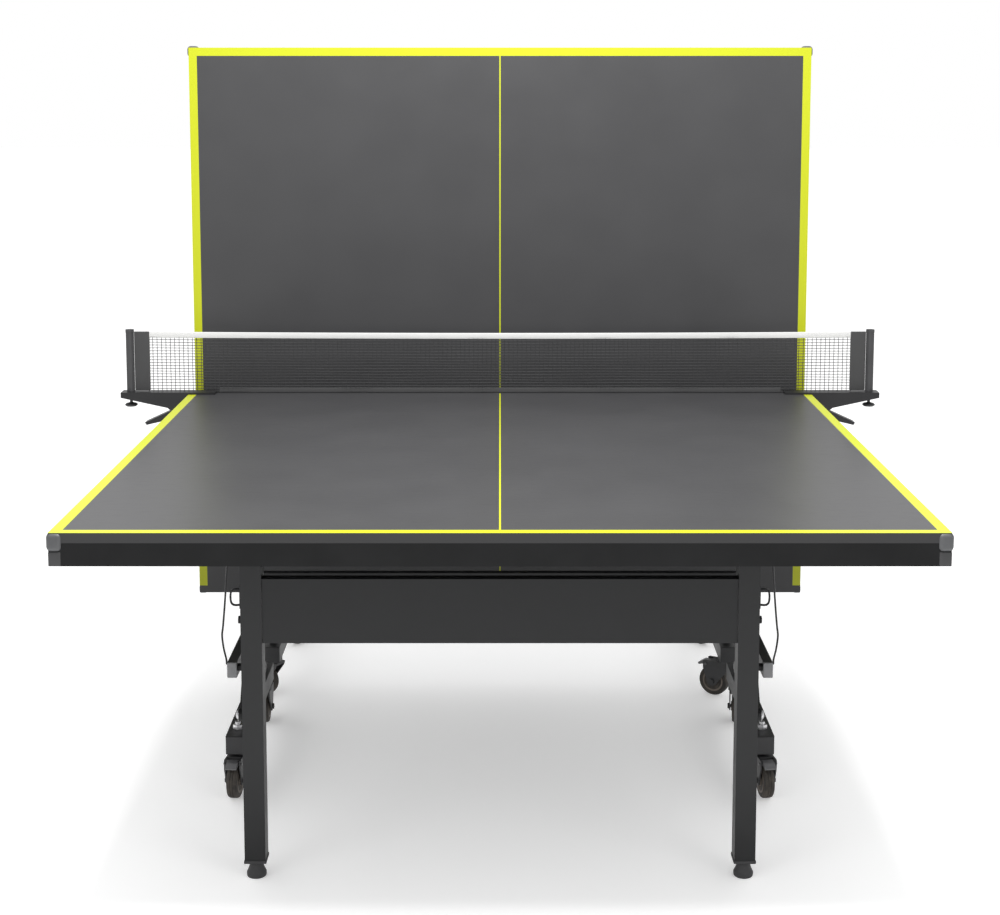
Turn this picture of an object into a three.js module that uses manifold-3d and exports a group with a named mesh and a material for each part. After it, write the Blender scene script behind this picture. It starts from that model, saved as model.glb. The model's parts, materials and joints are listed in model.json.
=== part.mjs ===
// Playback ping pong table in two separate rolling halves, millimetres, +Z up.
// The near half is flat and carries the net, the far half is folded upright behind it.
// The origin is on the floor in the middle of the footprint.
import * as THREE from 'three';
import { mergeVertices } from 'three/addons/utils/BufferGeometryUtils.js';
import Module from 'manifold-3d';

const wasm = await Module();
wasm.setup();

// Driving dimensions of the playing surface
const tableWidth = 1525;
const halfLength = 1370;
const topHeight = 760;
const boardThick = 18;
const gap = 0.3;                 // running gap between touching pieces

// Frame under the board: a C-section apron, open inwards, and three kinds of inner rail
const apronDeep = 40;
const apronWide = 20;
const sheet = 2;
const crossWide = 44;
const crossDeep = 30;

// Fold geometry of one half; u runs from the main pivot towards the outer end
const pivotHeight = 675;
const netEdge = -442;            // net edge of the board, along u
const endEdge = netEdge + halfLength;
const legAt = 598;               // leg hinge, along u
const linkHeight = 320;          // lower pivot of the leg link
const nearPivotY = netEdge;
const farPivotY = 151;

// Trolley
const railHalf = 239;
const railCentre = 562;
const railSize = 40;
const railBase = 100;
const postInner = 573;
const postThick = 8;
const postOuter = postInner + postThick;
const casterAt = 194;
const pinRadius = 6;
const pinHole = pinRadius + gap;

// Legs
const legCentre = 468;
const legSize = 40;
const legBase = 32;
const panelHeights = [466, 590];

// Stay rods and pull handles
const stayAt = 258;
const stayDrop = -12;            // stay pivot below the main pivot
const stayLow = 303;
const handleHeight = 371;
const handleU = -4;

// Net set
const netU = -430;
const netTop = 912.5;
const postX = 907;
const clampU = [netEdge - 4, netEdge + 36];
const leverPin = [790, 705.5];   // clamp lever pivot, across and up

function material(color, roughness, metalness) {
  return new THREE.MeshStandardMaterial({ color, roughness, metalness });
}

// ---- solids ----

function toSolid(geometry) {
  const bare = geometry.clone();
  bare.deleteAttribute('normal');
  bare.deleteAttribute('uv');
  const merged = mergeVertices(bare, 1e-4);
  const from = merged.index.array;
  const kept = [];
  for (let i = 0; i < from.length; i += 3) {
    const [a, b, c] = [from[i], from[i + 1], from[i + 2]];
    if (a !== b && b !== c && c !== a) kept.push(a, b, c);
  }
  return new wasm.Manifold(new wasm.Mesh({
    numProp: 3,
    vertProperties: new Float32Array(merged.attributes.position.array),
    triVerts: new Uint32Array(kept),
  }));
}

function toGeometry(solid) {
  const mesh = solid.getMesh();
  const geometry = new THREE.BufferGeometry();
  geometry.setAttribute('position', new THREE.BufferAttribute(mesh.vertProperties, 3));
  geometry.setIndex(new THREE.BufferAttribute(mesh.triVerts, 1));
  return geometry;
}

function block(x, y, z) {
  const box = new THREE.BoxGeometry(x[1] - x[0], y[1] - y[0], z[1] - z[0]);
  return toSolid(box.translate((x[0] + x[1]) / 2, (y[0] + y[1]) / 2, (z[0] + z[1]) / 2));
}

// A round bar along X between two x values
function barX(x, y, z, radius, sides = 12) {
  const bar = new THREE.CylinderGeometry(radius, radius, x[1] - x[0], sides).rotateZ(Math.PI / 2);
  return toSolid(bar.translate((x[0] + x[1]) / 2, y, z));
}

function barZ(x, y, z, radius, sides = 12) {
  const bar = new THREE.CylinderGeometry(radius, radius, z[1] - z[0], sides).rotateX(Math.PI / 2);
  return toSolid(bar.translate(x, y, (z[0] + z[1]) / 2));
}

function outline(points) {
  return new THREE.Shape(points.map(([a, b]) => new THREE.Vector2(a, b)));
}

// An outline in the YZ plane, thick along X
function plateX(x, points) {
  const options = { depth: x[1] - x[0], bevelEnabled: false };
  const plate = new THREE.ExtrudeGeometry(outline(points), options);
  const turn = new THREE.Matrix4().set(0, 0, 1, x[0], 1, 0, 0, 0, 0, 1, 0, 0, 0, 0, 0, 1);
  return toSolid(plate.applyMatrix4(turn));
}

// An outline in the XZ plane, thick along Y
function plateY(y, points) {
  const options = { depth: y[1] - y[0], bevelEnabled: false };
  const plate = new THREE.ExtrudeGeometry(outline(points), options);
  return toSolid(plate.rotateX(Math.PI / 2).translate(0, y[1], 0));
}

function sum(solids) {
  return solids.reduce((whole, next) => whole.add(next));
}

function less(solid, cuts) {
  return cuts.reduce((whole, next) => whole.subtract(next), solid);
}

function span(centre, half) {
  return [centre - half, centre + half];
}

// A range of x on one side of the table
function across(side, low, high) {
  return side > 0 ? [low, high] : [-high, -low];
}

// A bent wire along a list of points
function wire(points, radius, steps) {
  const path = new THREE.CatmullRomCurve3(points.map((p) => new THREE.Vector3(...p)), false, 'centripetal');
  const ring = new THREE.Shape();
  ring.absarc(0, 0, radius, 0, 2 * Math.PI);
  const options = { steps, curveSegments: 3, bevelEnabled: false, extrudePath: path };
  return toSolid(new THREE.ExtrudeGeometry(ring, options));
}

function add(parent, name, shape, finish) {
  const geometry = shape.isBufferGeometry ? shape : toGeometry(shape);
  const mesh = new THREE.Mesh(geometry, finish);
  mesh.name = name;
  parent.add(mesh);
}

// ---- top: board, frame, corner of the fold ----

function board() {
  const z = topHeight - pivotHeight;
  return block(span(0, tableWidth / 2), [netEdge, endEdge], [z - boardThick, z]);
}

function topFrame() {
  const high = topHeight - pivotHeight - boardThick - gap;
  const low = high - apronDeep + gap;
  const outer = tableWidth / 2;
  const inner = outer - apronWide;
  const apron = less(block(span(0, outer), [netEdge, endEdge], [low, high]), [
    block(span(0, inner), [netEdge + apronWide, endEdge - apronWide], [low - 1, high + 1]),
    block(span(0, outer - sheet), [netEdge + sheet, endEdge - sheet], [low + sheet, high - sheet]),
  ]);
  const pieces = [apron];
  for (const u of [0, legAt]) {
    const channel = block(span(0, outer - 1), span(u, crossWide / 2), [high - crossDeep, high]);
    const inside = span(u, crossWide / 2 - sheet);
    pieces.push(channel.subtract(block(span(0, inner), inside, [high - crossDeep - 1, high - sheet])));
  }
  const under = high - crossDeep;
  for (const side of [-1, 1]) {
    pieces.push(block(across(side, 555, 575), [0, legAt], [under, high]));
    const mainPlate = block(across(side, 583, 591), span(0, 22), [-16, under + 4]);
    pieces.push(mainPlate.subtract(barX(across(side, 580, 594), 0, 0, pinHole)));
    for (const x of [[440, 445], [491, 496]]) {
      const ear = block(across(side, ...x), span(legAt, 21), [-20, under + 4]);
      pieces.push(ear.subtract(barX(across(side, x[0] - 3, x[1] + 3), legAt, 0, pinHole)));
    }
    const stayPlate = block(across(side, 569, 573), span(stayAt, 10), [stayDrop - 10, under + 4]);
    pieces.push(stayPlate.subtract(barX(across(side, 560, 580), stayAt, stayDrop, 2.9, 10)));
  }
  return sum(pieces);
}

// ---- trolley ----

function trolleySide(side) {
  const x = across(side, railCentre - railSize / 2, railCentre + railSize / 2);
  const wall = across(side, railCentre - railSize / 2 + sheet, railCentre + railSize / 2 - sheet);
  const top = railBase + railSize;
  let rail = block(x, span(0, railHalf), [railBase, top]);
  rail = rail.subtract(block(wall, span(0, railHalf + 1), [railBase + sheet, top - sheet]));
  for (const u of [-casterAt, casterAt]) {
    rail = rail.subtract(barZ(side * railCentre, u, [railBase - 1, top + 1], pinHole));
  }
  const flat = across(side, postInner, postOuter);
  const post = sum([
    block(flat, [-16, 8], [top - 1, pivotHeight]),
    barX(flat, 0, pivotHeight, 9),
    barX(flat, 0, linkHeight, 15),
    plateX(flat, [[-46, top - 1], [38, top - 1], [8, top + 44], [-16, top + 44]]),
    barX(across(side, postOuter - 1, 593), 0, pivotHeight, pinRadius),
    barX(across(side, 592, 597), 0, pivotHeight, 10, 6),
    barX(across(side, 556, postInner + 1), 0, linkHeight, pinRadius),
    barX(across(side, postOuter - 1, 587), 0, linkHeight, 9, 6),
  ]);
  const pinHoleSolid = barX(across(side, 560, 590), handleU, handleHeight, 4.4, 12);
  return rail.add(post.subtract(pinHoleSolid));
}

function trolleyCross() {
  const x = span(0, postInner - gap);
  const tube = block(x, [-24, -4], [396, 426]);
  return tube.subtract(block(span(0, postInner), [-22, -6], [398, 424]));
}

function pullHandle(side) {
  const z = handleHeight;
  const loop = [[583, handleU, z - 18], [598, handleU, z - 18], [603, handleU, z - 13],
    [603, handleU, z + 13], [598, handleU, z + 18], [583, handleU, z + 18]];
  return sum([
    wire(loop.map(([x, y, h]) => [side * x, y, h]), 2.5, 14),
    block(across(side, postOuter + gap, 584), span(handleU, 7), span(z, 25)),
    barX(across(side, 566, 583), handleU, z, 4, 12),
  ]);
}

// ---- caster, its swivel axis on the origin, trailing towards +Y ----

const wheelTrail = 30;
const wheelRadius = 37.5;
const pedalPivot = [47, 80];

function casterFork(withPedal) {
  const pieces = [
    barZ(0, 0, [89, railBase - gap], 21, 16),
    block([-18, 18], [-20, 36], [84, 90]),
    barZ(0, 0, [99, 156], pinRadius),
    barZ(0, 0, [railBase + railSize + gap, 150], 11, 6),
    barX([-17, 17], wheelTrail, wheelRadius, 4, 12),
  ];
  for (const side of [-1, 1]) {
    let arm = plateX(across(side, 15, 18),
      [[-18, 90], [-18, 80], [20, 30], [30, 26], [40, 30], [54, 70], [54, 88], [50, 90]]);
    if (withPedal) arm = arm.subtract(barX(across(side, 12, 22), ...pedalPivot, 3.3, 10));
    pieces.push(arm, barX(across(side, 17, 22), wheelTrail, wheelRadius, 7, 6));
  }
  return sum(pieces);
}

function casterWheel() {
  const profile = [[4.3, -13.5], [11, -13.5], [12, -10], [28, -11], [35, -10.5], [37.5, -6],
    [37.5, 6], [35, 10.5], [28, 11], [12, 10], [11, 13.5], [4.3, 13.5], [4.3, -13.5]];
  const wheel = new THREE.LatheGeometry(profile.map(([r, h]) => new THREE.Vector2(r, h)), 16);
  return toSolid(wheel.rotateZ(Math.PI / 2));
}

function brakePedal() {
  const tread = plateX([-12, 12],
    [[40, 86], [40, 82], [47, 75.5], [56, 77], [68, 74], [71, 78], [59, 85], [47, 86]]);
  return tread.add(barX([-20, 20], ...pedalPivot, 3, 10));
}

// ---- legs, with the hinge on the origin ----

function leg(side) {
  const x = across(side, legCentre - legSize / 2, legCentre + legSize / 2);
  const hollow = across(side, legCentre - legSize / 2 + sheet, legCentre + legSize / 2 - sheet);
  const low = legBase - pivotHeight;
  const tube = block(x, span(0, legSize / 2), [low, 12]);
  return sum([
    less(tube, [
      block(hollow, span(0, legSize / 2 - sheet), [low + 20, 20]),
      barZ(side * legCentre, 0, [low - 1, low + 22], 5.5),
    ]),
    barX(across(side, 436, 500), 0, 0, pinRadius),
    barX(across(side, 487, 500), 0, linkHeight - pivotHeight, pinRadius),
  ]);
}

function legPanel() {
  const z = panelHeights.map((height) => height - pivotHeight);
  const x = span(0, legCentre - legSize / 2 - gap);
  const solid = block(x, [-8, 17], z);
  return solid.subtract(block(span(0, legCentre), [-9, 17 - sheet], [z[0] + sheet, z[1] - sheet]));
}

function foot() {
  const profile = [[0, 0], [17, 0], [19, 3], [19, 9], [14, 18], [12, legBase - gap],
    [5, legBase - gap], [5, legBase + 32], [0, legBase + 32]];
  const lathe = new THREE.LatheGeometry(profile.map(([r, h]) => new THREE.Vector2(r, h)), 14);
  return toSolid(lathe.rotateX(Math.PI / 2));
}

// ---- leg link: outer arm, axle and inner bar, with its trolley pivot on the origin ----

function legLink(side) {
  const armX = across(side, 548, 568);
  const armHollow = across(side, 550, 566);
  const axle = [272, -17];
  const arm = block(armX, [-10, 285], [-35, -3]);
  const bar = new THREE.BoxGeometry(6, legAt - axle[0], 24);
  bar.rotateX(Math.atan2(-axle[1], legAt - axle[0]));
  bar.translate(side * 493, (legAt + axle[0]) / 2, axle[1] / 2);
  const pieces = sum([
    arm.subtract(block(armHollow, [-11, 286], [-33, -5])),
    barX(across(side, 562, 568), 0, 0, 14),
    block(across(side, 562, 568), [-10, 14], [-6, 0]),
    barX(across(side, 490, 567), ...axle, 8),
    toSolid(bar),
    barX(across(side, 490, 496), ...axle, 12),
    barX(across(side, 490, 496), legAt, 0, 12),
  ]);
  return less(pieces, [
    barX(across(side, 540, 580), 0, 0, pinHole),
    barX(across(side, 486, 500), legAt, 0, pinHole),
  ]);
}

function stayRod(side) {
  const low = stayLow - pivotHeight - stayDrop;
  const path = [[565, 0, 2.5], [565, 0, -50], [568, 0, -130], [574, 0, -215], [579.5, 0, -275],
    [582, 0, -297], [579, 0, -325], [574, 0, low + 12], [573.5, 0, low]];
  return wire(path.map(([x, y, z]) => [side * x, y, z]), 2, 14).add(barX(across(side, 563.5, 576), 0, 0, 2.5, 10));
}

// ---- net set ----

function mirrored(side, points) {
  return points.map(([x, z]) => [side * x, z - pivotHeight]);
}

// A pin along u between two u values
function barU(x, z, u, radius) {
  const bar = new THREE.CylinderGeometry(radius, radius, u[1] - u[0], 12);
  return toSolid(bar.translate(x, (u[0] + u[1]) / 2, z));
}

function netClamp(side) {
  const cheek = [[776, 724], [806, 724], [799, 700], [781, 700]];
  return sum([
    plateY(clampU, mirrored(side, [[697, 760.3], [697, 765], [928, 765], [928, 752], [814, 727],
      [808, 722], [766, 722], [766, 760.3]])),
    plateY([clampU[0], clampU[0] + 3.5], mirrored(side, cheek)),
    plateY([clampU[1] - 3.5, clampU[1]], mirrored(side, cheek)),
    barU(side * leverPin[0], leverPin[1] - pivotHeight, [clampU[0] + 1, clampU[1] - 1], 3),
  ]);
}

function clampLever(side) {
  const lever = plateY([clampU[0] + 4, clampU[1] - 4], mirrored(side,
    [[735, 692], [735, 701.6], [764, 701.6], [782, 711], [800, 714], [812, 717], [871, 690],
      [867, 684], [812, 697], [800, 698], [770, 690]]));
  return lever.subtract(barU(side * leverPin[0], leverPin[1] - pivotHeight, clampU, 3 + gap));
}

function netPost(side) {
  const low = 765.3 - pivotHeight;
  const high = 915 - pivotHeight;
  return barZ(side * postX, netU, [low, high], 10).add(barZ(side * postX, netU, [high - 4, high + 3], 10.5));
}

function net() {
  const z = [761, 766, netTop];
  return plateY(span(netU, 2), mirrored(1, [[-896, z[1]], [-690, z[1]], [-690, z[0]], [690, z[0]],
    [690, z[1]], [896, z[1]], [896, z[2]], [-896, z[2]]]));
}

// ---- assembly ----

const finishes = {
  board: material(0x46474a, 0.42, 0),
  apron: material(0x17181a, 0.5, 0.3),
  paintedSteel: material(0x1c1d20, 0.45, 0.4),
  zinc: material(0x8d9094, 0.35, 0.9),
  tyre: material(0x202123, 0.75, 0),
  plastic: material(0x141516, 0.6, 0),
  netBlack: material(0x0d0d0e, 0.9, 0),
};

// Caster headings in degrees, by side and end of the trolley; 0 trails towards the outer end
const headings = {
  near: { '1,1': -6, '-1,1': 8, '1,-1': 180, '-1,-1': 172 },
  far: { '1,1': 25, '-1,1': -20, '1,-1': 60, '-1,-1': 60 },
};

function group(parent, y, z, angle) {
  const made = new THREE.Group();
  made.position.set(0, y, z);
  made.rotation.x = angle;
  parent.add(made);
  return made;
}

function buildCaster(parent, half, side, end, label) {
  const where = new THREE.Group();
  where.position.set(side * railCentre, end * casterAt, 0);
  where.rotation.z = THREE.MathUtils.degToRad(headings[half][`${side},${end}`]);
  parent.add(where);
  const braked = (half === 'near') === (end > 0);
  const place = `${half}_${end > 0 ? 'outer' : 'inner'}`;
  add(where, `${place}_fork_${label}`, casterFork(braked), finishes.zinc);
  const wheel = new THREE.Group();
  wheel.position.set(0, wheelTrail, wheelRadius);
  where.add(wheel);
  add(wheel, `${place}_wheel_${label}`, casterWheel(), finishes.tyre);
  if (braked) add(where, `${place}_brake_pedal_${label}`, brakePedal(), finishes.plastic);
}

function buildHalf(root, half, pivotY, turned, folded) {
  const fold = folded ? Math.PI / 2 : 0;
  const base = new THREE.Group();
  base.position.y = pivotY;
  base.rotation.z = turned ? Math.PI : 0;
  root.add(base);
  const label = (side) => ((side > 0) === turned ? 'left' : 'right');
  const top = group(base, 0, pivotHeight, fold);
  const legs = group(top, legAt, 0, -fold);
  const links = group(base, 0, linkHeight, fold);
  const stays = group(top, stayAt, stayDrop, -fold);
  add(top, `${half}_board`, board(), finishes.board);
  add(top, `${half}_top_frame`, topFrame(), finishes.apron);
  add(base, `${half}_trolley_cross_tube`, trolleyCross(), finishes.paintedSteel);
  add(legs, `${half}_leg_panel`, legPanel(), finishes.paintedSteel);
  for (const side of [-1, 1]) {
    add(base, `${half}_trolley_side_${label(side)}`, trolleySide(side), finishes.paintedSteel);
    add(base, `${half}_pull_handle_${label(side)}`, pullHandle(side), finishes.zinc);
    add(links, `${half}_leg_link_${label(side)}`, legLink(side), finishes.paintedSteel);
    add(stays, `${half}_stay_rod_${label(side)}`, stayRod(side), finishes.zinc);
    add(legs, `${half}_leg_${label(side)}`, leg(side), finishes.paintedSteel);
    const footPlace = group(legs, 0, -pivotHeight, 0);
    footPlace.position.x = side * legCentre;
    add(footPlace, `${half}_foot_${label(side)}`, foot(), finishes.plastic);
    for (const end of [-1, 1]) buildCaster(base, half, side, end, label(side));
  }
  return { top, label };
}

const table = new THREE.Group();
const near = buildHalf(table, 'near', nearPivotY, true, false);
buildHalf(table, 'far', farPivotY, false, true);
add(near.top, 'net', net(), finishes.netBlack);
for (const side of [-1, 1]) {
  const name = near.label(side);
  add(near.top, `net_clamp_${name}`, netClamp(side), finishes.paintedSteel);
  add(near.top, `clamp_lever_${name}`, clampLever(side), finishes.paintedSteel);
  add(near.top, `net_post_${name}`, netPost(side), finishes.plastic);
}

// The origin goes to the middle of the footprint, on the floor
table.updateMatrixWorld(true);
const footprint = new THREE.Box3().setFromObject(table, true).getCenter(new THREE.Vector3());
for (const half of table.children) half.position.y -= footprint.y;

export default table;
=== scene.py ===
# Playback ping pong table: one rolling half flat with its net, the other folded upright behind it.
import json
import math
import bpy
from mathutils import Matrix, Vector


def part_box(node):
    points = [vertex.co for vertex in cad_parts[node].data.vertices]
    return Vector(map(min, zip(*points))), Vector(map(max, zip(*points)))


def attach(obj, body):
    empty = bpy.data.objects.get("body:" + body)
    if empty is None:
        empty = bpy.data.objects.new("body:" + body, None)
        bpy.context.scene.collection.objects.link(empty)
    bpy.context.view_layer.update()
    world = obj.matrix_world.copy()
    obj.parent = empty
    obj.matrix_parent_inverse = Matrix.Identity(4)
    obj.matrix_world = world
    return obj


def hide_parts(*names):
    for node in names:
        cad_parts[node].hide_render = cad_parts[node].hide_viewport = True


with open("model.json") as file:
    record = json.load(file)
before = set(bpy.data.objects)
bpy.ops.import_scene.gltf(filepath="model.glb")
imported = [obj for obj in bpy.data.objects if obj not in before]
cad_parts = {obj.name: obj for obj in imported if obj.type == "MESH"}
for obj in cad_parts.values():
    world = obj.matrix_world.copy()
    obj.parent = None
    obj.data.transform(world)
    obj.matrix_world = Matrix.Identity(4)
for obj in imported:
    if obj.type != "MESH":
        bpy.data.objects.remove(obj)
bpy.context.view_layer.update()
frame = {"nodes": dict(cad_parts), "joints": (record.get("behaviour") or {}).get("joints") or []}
nodes = frame["nodes"]


# shader maths

class Value:
    def __init__(self, tree, socket):
        self.tree = tree
        self.socket = socket

    def maths(self, operation, *terms):
        node = self.tree.nodes.new("ShaderNodeMath")
        node.operation = operation
        for slot, term in zip(node.inputs, terms):
            if isinstance(term, Value):
                self.tree.links.new(term.socket, slot)
            else:
                slot.default_value = term
        return Value(self.tree, node.outputs[0])

    def __add__(self, other):
        return self.maths("ADD", self, other)

    def __radd__(self, other):
        return self.maths("ADD", other, self)

    def __sub__(self, other):
        return self.maths("SUBTRACT", self, other)

    def __rsub__(self, other):
        return self.maths("SUBTRACT", other, self)

    def __mul__(self, other):
        return self.maths("MULTIPLY", self, other)

    def __rmul__(self, other):
        return self.maths("MULTIPLY", other, self)

    def __gt__(self, other):
        return self.maths("GREATER_THAN", self, other)

    def __lt__(self, other):
        return self.maths("LESS_THAN", self, other)

    def __abs__(self):
        return self.maths("ABSOLUTE", self)

    def either(self, other):
        return self.maths("MAXIMUM", self, other)

    def sine(self):
        return self.maths("SINE", self)


class Finish:
    def __init__(self, name, **settings):
        self.material = bpy.data.materials.new(name)
        self.material.use_nodes = True
        self.tree = self.material.node_tree
        self.shader = self.tree.nodes["Principled BSDF"]
        for socket, value in settings.items():
            self.shader.inputs[socket.replace("_", " ")].default_value = value

    def node(self, kind, settings=None, inputs=None, output=0):
        node = self.tree.nodes.new(kind)
        for name, value in (settings or {}).items():
            setattr(node, name, value)
        for name, value in (inputs or {}).items():
            if isinstance(value, Value):
                self.tree.links.new(value.socket, node.inputs[name])
            else:
                node.inputs[name].default_value = value
        return Value(self.tree, node.outputs[output])

    def place(self):
        return self.node("ShaderNodeTexCoord", output="Object")

    def axes(self):
        place = self.place()
        return [self.node("ShaderNodeSeparateXYZ", None, {"Vector": place}, axis) for axis in range(3)]

    def noise(self, scale, detail=3.0, roughness=0.5, stretch=None):
        place = self.place()
        if stretch:
            place = self.node("ShaderNodeMapping", None, {"Vector": place, "Scale": stretch})
        settings = {"Vector": place, "Scale": scale, "Detail": detail, "Roughness": roughness}
        return self.node("ShaderNodeTexNoise", None, settings)

    def band(self, value, low, high):
        inputs = {"Value": value, "From Min": low, "From Max": high}
        return self.node("ShaderNodeMapRange", None, inputs)

    def mix(self, factor, first, second):
        return self.node("ShaderNodeMix", {"data_type": "RGBA"}, {0: factor, 6: first, 7: second}, 2)

    def drive(self, socket, value):
        self.tree.links.new(value.socket, self.shader.inputs[socket])

    def bump(self, height, distance, strength=1.0):
        inputs = {"Height": height, "Distance": distance, "Strength": strength}
        self.drive("Normal", self.node("ShaderNodeBump", None, inputs))


def rgb(red, green, blue):
    return (red, green, blue, 1.0)


paint = {
    "surface": rgb(0.021, 0.021, 0.022),
    "surfacePale": rgb(0.024, 0.024, 0.025),
    "speck": rgb(0.036, 0.036, 0.037),
    "line": rgb(0.25, 0.272, 0.0036),
    "edge": rgb(0.018, 0.018, 0.0185),
    "netMargin": 0.018,      # the side lines stop short of the net edge
    "sideLine": 0.020,       # width along the sides and the end
    "centreLine": 0.0032,
    "depth": 0.0004,         # how far below the face the paint still counts as face
    "gloss": 0.27,
    "roughness": 0.36,
}


def boardFinish(name, endAxis, endLimit, faceAxis, facePlace, outward):
    # endAxis and faceAxis are 1 or 2; outward is the sign of the playing face along faceAxis
    finish = Finish(name, Specular_IOR_Level=paint["gloss"])
    low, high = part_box(name)
    axes = finish.axes()
    across = abs(axes[0])
    toEnd = abs(axes[endAxis] - endLimit)
    side = across > high.x - paint["sideLine"]
    centre = across < paint["centreLine"] / 2
    lines = side.either(centre).either(toEnd < paint["sideLine"])
    lines = lines * (toEnd < high[endAxis] - low[endAxis] - paint["netMargin"])
    onFace = (outward * (axes[faceAxis] - facePlace)) > -paint["depth"]
    mottle = finish.band(finish.noise(7, 4), 0.3, 0.7)
    grain = finish.noise(900, 2)
    colour = finish.mix(mottle, paint["surface"], paint["surfacePale"])
    worn = finish.mix(finish.band(grain, 0.35, 0.8) * 0.3, colour, paint["speck"])
    lined = finish.mix(lines, worn, paint["line"])
    finish.drive("Base Color", finish.mix(onFace, paint["edge"], lined))
    scuffs = finish.band(finish.noise(28, 6, 0.7, (1.0, 5.0, 5.0)), 0.52, 0.75)
    finish.drive("Roughness", paint["roughness"] + 0.02 * mottle + 0.04 * scuffs + 0.04 * grain)
    finish.bump(grain + 0.15 * finish.noise(260, 2), 0.00005, 0.5)
    return finish.material


def powderCoat(name, colour, roughness=0.42, gloss=0.2):
    finish = Finish(name, Specular_IOR_Level=gloss)
    speckle = finish.noise(1600, 2)
    patch = finish.band(finish.noise(9, 5, 0.6), 0.3, 0.75)
    scratch = finish.band(finish.noise(60, 6, 0.75, (1.0, 0.3, 6.0)), 0.66, 0.74)
    dark = rgb(*colour)
    light = rgb(*(1.5 * c + 0.004 for c in colour))
    shaded = finish.mix(0.5 * patch + 0.35 * finish.band(speckle, 0.4, 0.7), dark, light)
    finish.drive("Base Color", finish.mix(0.3 * scratch, shaded, rgb(0.06, 0.06, 0.062)))
    finish.drive("Roughness", roughness - 0.05 + 0.1 * patch + 0.08 * speckle)
    finish.bump(speckle + 0.4 * finish.noise(420, 2), 0.00008, 0.55)
    return finish.material


def zincPlate(name, colour=(0.5, 0.5, 0.51)):
    finish = Finish(name, Metallic=1.0)
    cloud = finish.band(finish.noise(70, 5, 0.6), 0.25, 0.75)
    drawn = finish.noise(400, 3, 0.6, (1.0, 1.0, 0.06))
    pale = rgb(*colour)
    dull = rgb(*(0.62 * c for c in colour))
    finish.drive("Base Color", finish.mix(cloud, dull, pale))
    finish.drive("Roughness", 0.24 + 0.16 * cloud + 0.1 * drawn)
    finish.bump(drawn, 0.00004, 0.4)
    return finish.material


def mouldedPlastic(name, colour, roughness=0.5):
    finish = Finish(name, Specular_IOR_Level=0.45)
    texture = finish.noise(1100, 3)
    haze = finish.band(finish.noise(22, 5, 0.65), 0.3, 0.75)
    dark = rgb(*colour)
    light = rgb(*(1.35 * c + 0.004 for c in colour))
    finish.drive("Base Color", finish.mix(haze, dark, light))
    finish.drive("Roughness", roughness + 0.12 * haze + 0.06 * texture)
    finish.bump(texture, 0.0001, 0.5)
    return finish.material


def tyreRubber(name):
    finish = Finish(name, Specular_IOR_Level=0.3)
    dust = finish.band(finish.noise(45, 6, 0.7), 0.4, 0.75)
    finish.drive("Base Color", finish.mix(dust, rgb(0.02, 0.018, 0.016), rgb(0.075, 0.064, 0.053)))
    finish.drive("Roughness", 0.62 + 0.2 * dust)
    finish.bump(finish.noise(700, 3), 0.0002, 0.6)
    return finish.material


threadAngle = 2600.0         # radians of weave to a metre, so a thread every 2.4 mm


def wovenTape(name, colour, shade):
    finish = Finish(name, Roughness=0.85, Sheen_Weight=0.25)
    axes = finish.axes()
    weave = (axes[0] * threadAngle).sine() * (axes[2] * threadAngle).sine()
    soil = finish.band(finish.noise(35, 5), 0.35, 0.8)
    threads = finish.mix(0.5 + 0.5 * weave, rgb(*shade), rgb(*colour))
    finish.drive("Base Color", finish.mix(0.25 * soil, threads, rgb(*shade)))
    finish.bump(weave, 0.00015, 0.6)
    return finish.material


def netCord(name):
    finish = Finish(name, Roughness=0.8)
    twist = finish.noise(900, 2)
    finish.drive("Base Color", finish.mix(twist, rgb(0.006, 0.006, 0.006), rgb(0.02, 0.02, 0.021)))
    finish.bump(twist, 0.0001, 0.5)
    return finish.material


def forkFinish(name, nutHeight):
    # painted fork, bright above nutHeight, where its nut is
    finish = Finish(name)
    nut = finish.axes()[2] > nutHeight
    patch = finish.band(finish.noise(40, 5, 0.65), 0.3, 0.75)
    painted = finish.mix(patch, rgb(0.012, 0.012, 0.013), rgb(0.024, 0.024, 0.026))
    plated = finish.mix(patch, rgb(0.36, 0.36, 0.37), rgb(0.6, 0.6, 0.61))
    finish.drive("Base Color", finish.mix(nut, painted, plated))
    finish.drive("Metallic", nut)
    finish.drive("Roughness", 0.42 - 0.14 * nut + 0.12 * patch)
    finish.bump(finish.noise(900, 3), 0.0001, 0.5)
    return finish.material


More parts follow.
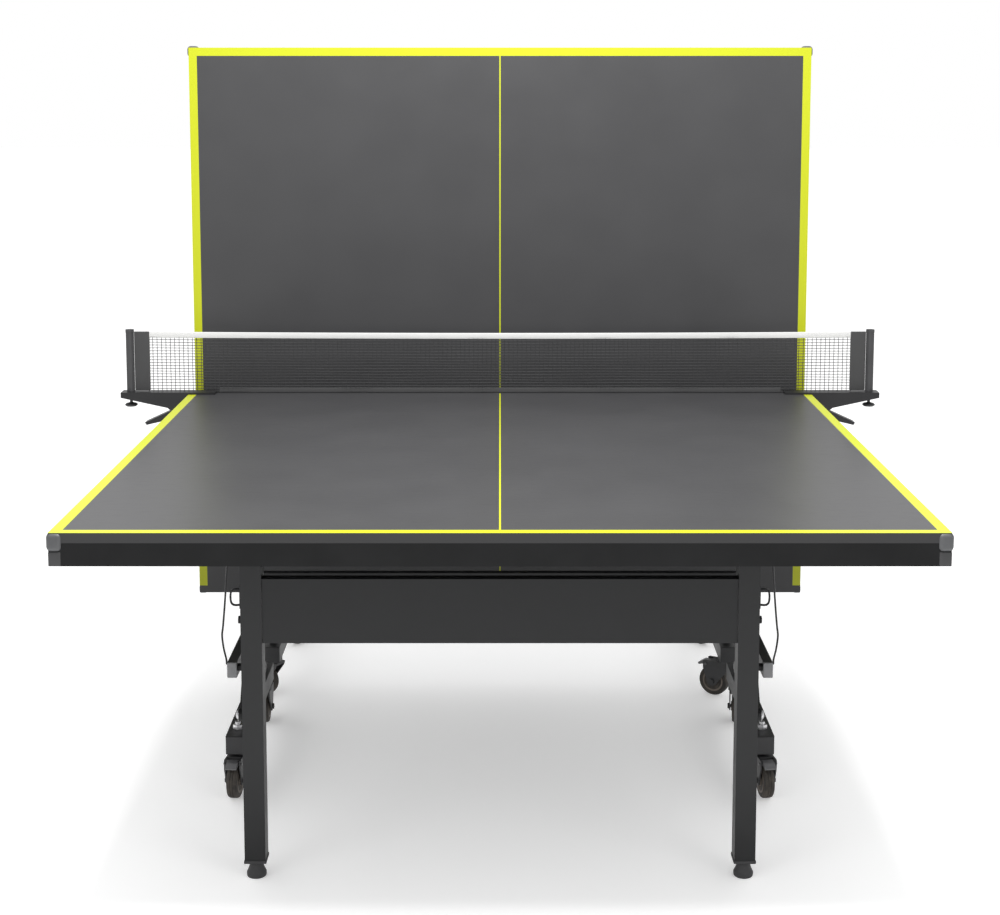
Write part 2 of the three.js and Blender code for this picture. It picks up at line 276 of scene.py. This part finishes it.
nearLow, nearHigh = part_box("near_board")
farLow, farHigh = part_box("far_board")
finishes = {
    "nearBoard": boardFinish("near_board", 1, nearLow.y, 2, nearHigh.z, 1.0),
    "farBoard": boardFinish("far_board", 2, farHigh.z, 1, farLow.y, -1.0),
    # the apron gets its own copy of the frame's black powder coat, darker and less glossy: painted shade
    "apron": powderCoat("apronShadedBlack", (0.0045, 0.0046, 0.0048), 0.46, 0.1),
    "steel": powderCoat("frameBlack", (0.0085, 0.0088, 0.0092), 0.4),
    "panel": powderCoat("panelBlack", (0.007, 0.0073, 0.0077), 0.44),
    "clamp": powderCoat("clampBlack", (0.007, 0.007, 0.0075), 0.38),
    "zinc": zincPlate("zincPlate"),
    "wire": powderCoat("wireBlack", (0.011, 0.011, 0.012), 0.3),
    "plastic": mouldedPlastic("blackPlastic", (0.013, 0.013, 0.014)),
    "cap": mouldedPlastic("capGrey", (0.035, 0.036, 0.038), 0.4),
    "paleCap": mouldedPlastic("paleGreyCap", (0.13, 0.132, 0.136), 0.5),
    "pedal": mouldedPlastic("pedalGrey", (0.09, 0.09, 0.093), 0.35),
    "tyre": tyreRubber("tyreRubber"),
    "hub": mouldedPlastic("hubBrown", (0.095, 0.078, 0.064), 0.45),
    "tape": wovenTape("whiteTape", (0.4, 0.4, 0.395), (0.29, 0.29, 0.285)),
    "sleeve": wovenTape("blackSleeve", (0.016, 0.016, 0.017), (0.008, 0.008, 0.008)),
    "net": netCord("netCord"),
    "nearFork": forkFinish("nearFork", 0.1401),
    "farFork": forkFinish("farFork", 1.0),       # higher than the fork, so all of it is painted
}
print("finishes made", len(finishes))


nodeFinishes = {
    "panel": "panel",
    "top_frame": "apron",
    "clamp": "clamp",
    "handle": "wire",
    "stay": "wire",
    "pedal": "pedal",
    "post": "plastic",
    "foot": "plastic",
    "wheel": "tyre",
}


def finishFor(node):
    half = node.split("_")[0]
    if node.endswith("_board"):
        return half + "Board"
    if "fork" in node:
        return half + "Fork"
    for word, key in nodeFinishes.items():
        if word in node:
            return key
    return "steel"


def wear(piece, key):
    piece.data.materials.clear()
    piece.data.materials.append(finishes[key])


for node in nodes:
    if node != "net":
        wear(nodes[node], finishFor(node))


# places: each half's own frame runs from its main pivot, u outwards along +Y and z up

halves = ("near", "far")
sides = ("left", "right")
mirror = Matrix.Diagonal((-1.0, 1.0, 1.0, 1.0))
pivots = {
    "height": 0.675,         # fold pivot
    "near": nearLow.y + 0.928,
    "far": farLow.y + 0.085,
    "linkHeight": 0.320,     # lower link pivot
    "legAt": 0.598,          # leg hinge, along u
}
linkDrop = pivots["linkHeight"] - pivots["height"]


def placeOf(half, part):
    turn = Matrix.Rotation(math.pi if half == "near" else 0.0, 4, "Z")
    fold = Matrix.Rotation(0.0 if half == "near" else math.pi / 2, 4, "X")
    base = Matrix.Translation((0.0, pivots[half], 0.0)) @ turn
    top = base @ Matrix.Translation((0.0, 0.0, pivots["height"])) @ fold
    if part == "trolley":
        return base
    if part == "top":
        return top
    if part == "link":
        return base @ Matrix.Translation((0.0, 0.0, pivots["linkHeight"])) @ fold
    return top @ Matrix.Translation((0.0, pivots["legAt"], 0.0)) @ fold.inverted()


def ownSide(matrix, side):
    # a model made on the side of positive X, or its mirror image
    return matrix if side > 0 else matrix @ mirror


def worldSide(half, side):
    return "left" if (side > 0) == (half == "near") else "right"


# modelling

smoothing = {"block": math.radians(40), "round": math.radians(35), "rod": math.radians(50)}


def startClean():
    if bpy.context.mode != "OBJECT":
        bpy.ops.object.mode_set(mode="OBJECT")
    bpy.ops.object.select_all(action="DESELECT")


def bakeModifiers(piece):
    bpy.context.view_layer.objects.active = piece
    for modifier in list(piece.modifiers):
        bpy.ops.object.modifier_apply(modifier=modifier.name)


def bevelled(name, low, high, width, segments=3):
    # a rounded block between two corners
    startClean()
    middle = [(a + b) / 2 for a, b in zip(low, high)]
    size = [b - a for a, b in zip(low, high)]
    bpy.ops.mesh.primitive_cube_add(size=1.0, location=middle)
    piece = bpy.context.object
    piece.name = name
    piece.scale = size
    bpy.ops.object.transform_apply(location=True, rotation=True, scale=True)
    bevel = piece.modifiers.new("round", "BEVEL")
    bevel.width = width
    bevel.segments = segments
    bevel.limit_method = "ANGLE"
    bakeModifiers(piece)
    bpy.ops.object.shade_smooth_by_angle(angle=smoothing["block"])
    return piece


def turned(name, profile, corners=48):
    # a closed round piece about Z, drawn up through (radius, height) pairs
    startClean()
    radius, height = profile[0]
    bpy.ops.mesh.primitive_circle_add(vertices=corners, radius=radius, fill_type="NGON",
                                      location=(0, 0, height))
    piece = bpy.context.object
    piece.name = name
    bpy.ops.object.transform_apply(location=True, rotation=True, scale=True)
    bpy.ops.object.mode_set(mode="EDIT")
    bpy.ops.mesh.select_all(action="SELECT")
    for nextRadius, nextHeight in profile[1:]:
        bpy.ops.mesh.extrude_region_move(TRANSFORM_OT_translate={"value": (0, 0, nextHeight - height)})
        grow = nextRadius / radius
        bpy.ops.transform.resize(value=(grow, grow, 1.0), center_override=(0, 0, 0))
        radius, height = nextRadius, nextHeight
    bpy.ops.mesh.select_all(action="SELECT")
    bpy.ops.mesh.remove_doubles(threshold=1e-6)
    bpy.ops.mesh.normals_make_consistent(inside=False)
    bpy.ops.object.mode_set(mode="OBJECT")
    bpy.ops.object.shade_smooth_by_angle(angle=smoothing["round"])
    return piece


def finishPiece(piece, key, body, replaced=None):
    wear(piece, key)
    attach(piece, body)
    if replaced:
        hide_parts(replaced)


def copyPlaced(model, name, matrix):
    piece = model.copy()
    piece.data = model.data.copy()
    piece.name = name
    bpy.context.collection.objects.link(piece)
    piece.data.transform(matrix)
    if matrix.determinant() < 0:
        piece.data.flip_normals()
    return piece


def discard(model):
    bpy.data.objects.remove(model)


bodyNames = {"top": "{0}_top", "trolley": "{0}_trolley", "link": "{0}_links_{1}", "leg": "{0}_legs"}


def spread(model, name, part, key):
    # one copy for each side of each half
    for half in halves:
        for side in (1, -1):
            label = worldSide(half, side)
            piece = copyPlaced(model, f"{half}_{name}_{label}", ownSide(placeOf(half, part), side))
            finishPiece(piece, key, bodyNames[part].format(half, label))
    discard(model)


# corner caps, apron plugs, rail plugs and arm caps

caps = {
    # name: part, finish, bevel, low corner, high corner
    "corner": ("top", "cap", 0.0085, (0.7395, 0.9050, 0.0520), (0.7665, 0.9320, 0.0846)),
    "netCorner": ("top", "cap", 0.005, (0.7450, -0.4445, 0.0560), (0.7640, -0.4250, 0.0846)),
    "apronPlug": ("top", "plastic", 0.0016, (0.7418, 0.9076, 0.0270), (0.7632, 0.9288, 0.0516)),
    "railOuter": ("trolley", "plastic", 0.003, (0.5422, 0.2365, 0.1002), (0.5818, 0.2435, 0.1398)),
    "railInner": ("trolley", "plastic", 0.003, (0.5422, -0.2435, 0.1002), (0.5818, -0.2365, 0.1398)),
    "armOuter": ("link", "paleCap", 0.002, (0.5478, 0.2830, -0.0352), (0.5682, 0.2895, -0.0028)),
    "armInner": ("link", "paleCap", 0.002, (0.5478, -0.0145, -0.0352), (0.5682, -0.0080, -0.0028)),
    "legSole": ("leg", "plastic", 0.0016, (0.4465, -0.0215, -0.6435), (0.4895, 0.0215, -0.6372)),
}

for name, (part, key, bevel, low, high) in caps.items():
    spread(bevelled(name, low, high, bevel, 5), name, part, key)
print("caps and plugs placed")


# bolts at the leg hinges, the lower link pivots and the ends of the link axles

boltProfile = [(0.0120, 0.0), (0.0120, 0.0012), (0.0085, 0.0014), (0.0085, 0.0024), (0.0068, 0.0048),
               (0.002975, 0.0060)]
bolts = {
    # name: part, (x, u, z) of the seat, way it points along X, share of its full height
    "hingeBolt": ("leg", (0.4399, 0.0, 0.0), -1, 1.0),
    "hingeNut": ("leg", (0.4963, 0.0, 0.0), 1, 1.0),
    "linkNut": ("leg", (0.4964, 0.0, linkDrop), 1, 1.0),
    "axleNut": ("link", (0.5678, 0.272, -0.017), 1, 0.5),
}

for name, (part, seat, way, share) in bolts.items():
    head = turned("boltModel", boltProfile, 24)
    aim = Matrix.Rotation(way * math.pi / 2, 4, "Y")
    head.data.transform(Matrix.Translation(seat) @ aim @ Matrix.Diagonal((1.0, 1.0, share, 1.0)))
    spread(head, name, part, "zinc")
print("bolts placed")


# screw feet and casters

footProfile = [(0.0168, 0.0), (0.0184, 0.0012), (0.0190, 0.004), (0.0190, 0.0085), (0.0176, 0.0115),
               (0.0158, 0.0150), (0.0143, 0.0190), (0.0133, 0.0240), (0.0128, 0.0292), (0.0122, 0.0308),
               (0.0050, 0.0312), (0.0050, 0.0630)]
footModel = turned("footModel", footProfile)
for half in halves:
    for side in sides:
        foot = f"{half}_foot_{side}"
        low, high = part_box(foot)
        centre = ((low.x + high.x) / 2, (low.y + high.y) / 2, low.z)
        piece = copyPlaced(footModel, f"{half}_screwFoot_{side}", Matrix.Translation(centre))
        finishPiece(piece, "plastic", foot, foot)
discard(footModel)

wheel = {
    # (radius, distance from the middle), from one face to the middle
    "tyre": [(0.0262, 0.0108), (0.0345, 0.0112), (0.0362, 0.0100), (0.0372, 0.0074), (0.0375, 0.0045),
             (0.0374, 0.0034), (0.0362, 0.0030), (0.0362, 0.0022), (0.0374, 0.0018), (0.0375, 0.0)],
    "hub": [(0.0100, 0.0138), (0.0112, 0.0134), (0.0118, 0.0104), (0.0210, 0.0096), (0.0226, 0.0116),
            (0.0264, 0.0118)],
}


def bothFaces(oneFace):
    return [(r, -z) for r, z in oneFace] + [(r, z) for r, z in reversed(oneFace) if z > 0]


tyreModel = turned("tyreModel", bothFaces(wheel["tyre"]))
hubModel = turned("hubModel", bothFaces(wheel["hub"]))
hinges = {joint["child"]: joint for joint in frame["joints"]}
for half in halves:
    for place in ("outer", "inner"):
        for side in sides:
            body = f"{half}_{place}_roller_{side}"
            hinge = hinges[body]
            aim = Vector(hinge["axis"]).to_track_quat("Z", "Y").to_matrix().to_4x4()
            matrix = Matrix.Translation(hinge["pos_m"]) @ aim
            tyre = copyPlaced(tyreModel, f"{half}_{place}_tyre_{side}", matrix)
            finishPiece(tyre, "tyre", body, f"{half}_{place}_wheel_{side}")
            hub = copyPlaced(hubModel, f"{half}_{place}_hub_{side}", matrix)
            finishPiece(hub, "hub", body)
discard(tyreModel)
discard(hubModel)


# stay rods: a bent round wire with a pin at its top, drawn along the same line as the frame's

stay = {
    "radius": 0.0021,
    # (x, z) down from the hinge
    "line": [(0.5640, 0.0), (0.5650, -0.0150), (0.5655, -0.0500), (0.5680, -0.1300), (0.5740, -0.2150),
             (0.5795, -0.2750), (0.5820, -0.2970), (0.5790, -0.3250), (0.5740, -0.3480), (0.5735, -0.3590)],
    "pin": [(0.0019, 0.0), (0.0025, 0.0006), (0.0025, 0.0119), (0.0019, 0.0125)],
    "pinFrom": 0.5635,
}


def bentRod(name, points, radius, corners=12):
    # a ring is carried along the points in edit mode, one extrusion a step
    startClean()
    start = Vector(points[0])
    aim = (Vector(points[1]) - start).to_track_quat("Z", "Y")
    bpy.ops.mesh.primitive_circle_add(vertices=corners, radius=radius, fill_type="NGON", location=start,
                                      rotation=aim.to_euler())
    rod = bpy.context.object
    rod.name = name
    bpy.ops.object.transform_apply(location=True, rotation=True, scale=True)
    bpy.ops.object.mode_set(mode="EDIT")
    bpy.ops.mesh.select_all(action="SELECT")
    for before, after in zip(points, points[1:]):
        step = Vector(after) - Vector(before)
        bpy.ops.mesh.extrude_region_move(TRANSFORM_OT_translate={"value": step})
    bpy.ops.mesh.select_all(action="SELECT")
    bpy.ops.mesh.normals_make_consistent(inside=False)
    bpy.ops.object.mode_set(mode="OBJECT")
    bpy.ops.object.shade_smooth_by_angle(angle=smoothing["rod"])
    return rod


def eased(points, steps=5):
    # Catmull-Rom points between the given ones
    ends = [points[0]] + list(points) + [points[-1]]
    line = []
    for a, b, c, d in zip(ends, ends[1:], ends[2:], ends[3:]):
        a, b, c, d = (Vector(p) for p in (a, b, c, d))
        for step in range(steps):
            t = step / steps
            line.append(0.5 * (2 * b + (c - a) * t + (2 * a - 5 * b + 4 * c - d) * t * t
                               + (3 * b - a - 3 * c + d) * t ** 3))
    line.append(Vector(points[-1]))
    return line


rodModel = bentRod("rodModel", eased([(x, 0.0, z) for x, z in stay["line"]]), stay["radius"])
pivotPin = turned("pivotPin", stay["pin"], 16)
alongX = Matrix.Rotation(math.pi / 2, 4, "Y")
pivotPin.data.transform(Matrix.Translation((stay["pinFrom"], 0.0, 0.0)) @ alongX)
startClean()
pivotPin.select_set(True)
rodModel.select_set(True)
bpy.context.view_layer.objects.active = rodModel
bpy.ops.object.join()
for half in halves:
    for side, label in ((1, "right"), (-1, "left")):
        body = f"{half}_stay_{label}"
        x, y, z = hinges[body]["pos_m"]
        matrix = ownSide(Matrix.Translation((0.0, y, z)), side)
        rod = copyPlaced(rodModel, f"{half}_bentRod_{label}", matrix)
        finishPiece(rod, "wire", body, f"{half}_stay_rod_{label}")
discard(rodModel)
print("feet, casters and rods placed")


# net: knotted mesh between a white tape and the board, with a sleeve at each end

net = {
    "y": sum(corner.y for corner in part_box("net")) / 2,
    "half": 0.862,
    "low": 0.7645,
    "high": 0.9125,
    "meshTop": 0.9005,       # inside the tape
    "sag": 0.0035,
    "slackOut": 0.0006,      # how far a knot strays from the flat, and from its row
    "slackUp": 0.0005,
    "cell": 0.0108,          # between uprights; the rows are closer
    "row": 0.0072,
    "cord": 0.0021,
}
tape = {"height": 0.015, "thickness": 0.0028, "bevel": 0.0012}
hem = {"reach": 0.6895, "below": 0.0028, "above": 0.009, "thickness": 0.002, "bevel": 0.0008}
sleeve = {"from": 0.8585, "to": 0.8965, "above": 0.003, "over": 0.0005, "thickness": 0.0044, "bevel": 0.002}
knob = {
    "x": 0.907,
    "z": 0.7270,
    "profile": [(0.0060, 0.0), (0.0120, 0.0008), (0.0150, 0.0030), (0.0155, 0.0055), (0.0130, 0.0080),
                (0.0070, 0.0095), (0.0036, 0.0110), (0.0036, 0.0280)],
}


def netPlane(first, last, bottom, top, thickness):
    # the two corners of a flat block that stands in the plane of the net
    return (first, net["y"] - thickness / 2, bottom), (last, net["y"] + thickness / 2, top)


def sagged(piece):
    # the top edge dips a little towards the middle
    for vertex in piece.data.vertices:
        share = max(0.0, (vertex.co.z - net["low"]) / (net["high"] - net["low"]))
        reach = min(1.0, abs(vertex.co.x) / net["half"])
        vertex.co.z -= net["sag"] * share * (1.0 - reach ** 2)


def netMesh():
    startClean()
    width, height = 2 * net["half"], net["meshTop"] - net["low"]
    columns, rows = round(width / net["cell"]), round(height / net["row"])
    bpy.ops.mesh.primitive_grid_add(x_subdivisions=columns, y_subdivisions=rows, size=1.0)
    piece = bpy.context.object
    piece.name = "netMesh"
    middle = Matrix.Translation((0.0, net["y"], net["low"] + height / 2))
    upright = Matrix.Rotation(math.pi / 2, 4, "X")
    piece.data.transform(middle @ upright @ Matrix.Diagonal((width, height, 1.0, 1.0)))
    sagged(piece)
    for vertex in piece.data.vertices:   # slack cells, a little uneven
        wave = math.sin(vertex.co.x * 31.0) * math.cos(vertex.co.z * 57.0 + vertex.co.x * 9.0)
        vertex.co.y += net["slackOut"] * wave
        vertex.co.z += net["slackUp"] * math.sin(vertex.co.x * 17.0 + vertex.co.z * 90.0)
    strands = piece.modifiers.new("strands", "WIREFRAME")
    strands.thickness = net["cord"]
    strands.use_boundary = True
    strands.use_replace = True
    strands.use_even_offset = False
    bakeModifiers(piece)
    return piece


def netBand(name, reach, bottom, top, cloth, cuts=40):
    low, high = netPlane(-reach, reach, bottom, top, cloth["thickness"])
    piece = bevelled(name, low, high, cloth["bevel"])
    startClean()
    piece.select_set(True)
    bpy.context.view_layer.objects.active = piece
    bpy.ops.object.mode_set(mode="EDIT")
    for step in range(1, cuts):
        x = low[0] + (high[0] - low[0]) * step / cuts
        bpy.ops.mesh.select_all(action="SELECT")
        bpy.ops.mesh.bisect(plane_co=(x, 0, 0), plane_no=(1, 0, 0))
    bpy.ops.mesh.select_all(action="DESELECT")
    bpy.ops.object.mode_set(mode="OBJECT")
    sagged(piece)
    return piece


finishPiece(netMesh(), "net", "near_top", "net")
tapeBand = netBand("netTape", net["half"], net["high"] - tape["height"], net["high"], tape)
finishPiece(tapeBand, "tape", "near_top")
hemBand = netBand("netHem", hem["reach"], net["low"] - hem["below"], net["low"] + hem["above"], hem)
finishPiece(hemBand, "sleeve", "near_top")
sleeveFoot, sleeveHead = net["low"] + sleeve["above"], net["high"] + sleeve["over"]
for side, label in ((1, "right"), (-1, "left")):
    first, last = sorted((side * sleeve["from"], side * sleeve["to"]))
    low, high = netPlane(first, last, sleeveFoot, sleeveHead, sleeve["thickness"])
    netEnd = bevelled(f"netSleeve_{label}", low, high, sleeve["bevel"], 4)
    finishPiece(netEnd, "sleeve", "near_top")
    clampKnob = turned(f"clampKnob_{label}", knob["profile"], 10)
    clampKnob.data.transform(Matrix.Translation((side * knob["x"], net["y"], knob["z"])))
    finishPiece(clampKnob, "plastic", "near_top")
print("net made")


# studio: a pale floor, soft lights and the camera

studio = {
    "floor": rgb(0.88, 0.88, 0.88),
    "floorCloud": rgb(0.9, 0.9, 0.9),
    "floorGlow": 0.32,       # lifts the shadows a little
    "floorSize": 60.0,
    "world": rgb(1.0, 1.0, 1.0),
    "worldStrength": 1.0,
}
camera = {
    "lens": 62.68,
    "sensor": 36.0,
    "back": 2.866,           # from the near end of the table
    "height": 1.5033,
    "tilt": 6.84,            # degrees below level
    "shift": -0.160,
}
bpy.context.scene.view_settings.view_transform = "Standard"

startClean()
bpy.ops.mesh.primitive_plane_add(size=studio["floorSize"], location=(0, 10, 0))
floor = bpy.context.object
floor.name = "floor"
floorFinish = Finish("paleFloor", Roughness=0.7, Emission_Color=studio["floor"],
                     Emission_Strength=studio["floorGlow"])
cloud = floorFinish.noise(0.8, 2)
floorFinish.drive("Base Color", floorFinish.mix(cloud, studio["floor"], studio["floorCloud"]))
floor.data.materials.append(floorFinish.material)

world = bpy.data.worlds.new("studioWorld")
bpy.context.scene.world = world
world.use_nodes = True
sky = world.node_tree.nodes["Background"]
sky.inputs["Color"].default_value = studio["world"]
sky.inputs["Strength"].default_value = studio["worldStrength"]

lights = [
    # name, place, aim, size, power
    ("overhead", (0.0, -0.75, 2.6), (0.0, -0.75, 0.0), 1.5, 165.0),
    ("frontLeft", (-2.8, -3.6, 2.6), (0.0, -0.2, 0.6), 2.0, 25.0),
    ("frontRight", (2.8, -3.6, 2.6), (0.0, -0.2, 0.6), 2.0, 25.0),
]
for name, place, aim, size, power in lights:
    light = bpy.data.lights.new(name, "AREA")
    light.shape = "SQUARE"
    light.size = size
    light.energy = power
    lamp = bpy.data.objects.new(name, light)
    bpy.context.collection.objects.link(lamp)
    lamp.location = place
    lamp.rotation_mode = "QUATERNION"
    lamp.rotation_quaternion = (Vector(aim) - Vector(place)).to_track_quat("-Z", "Y")

lens = bpy.data.cameras.new("camera")
lens.lens = camera["lens"]
lens.sensor_width = camera["sensor"]
lens.shift_y = camera["shift"]
viewer = bpy.data.objects.new("camera", lens)
bpy.context.collection.objects.link(viewer)
viewer.location = (0.0, nearLow.y - camera["back"], camera["height"])
viewer.rotation_euler = (math.radians(90.0 - camera["tilt"]), 0.0, 0.0)
bpy.context.scene.camera = viewer
print("studio ready")
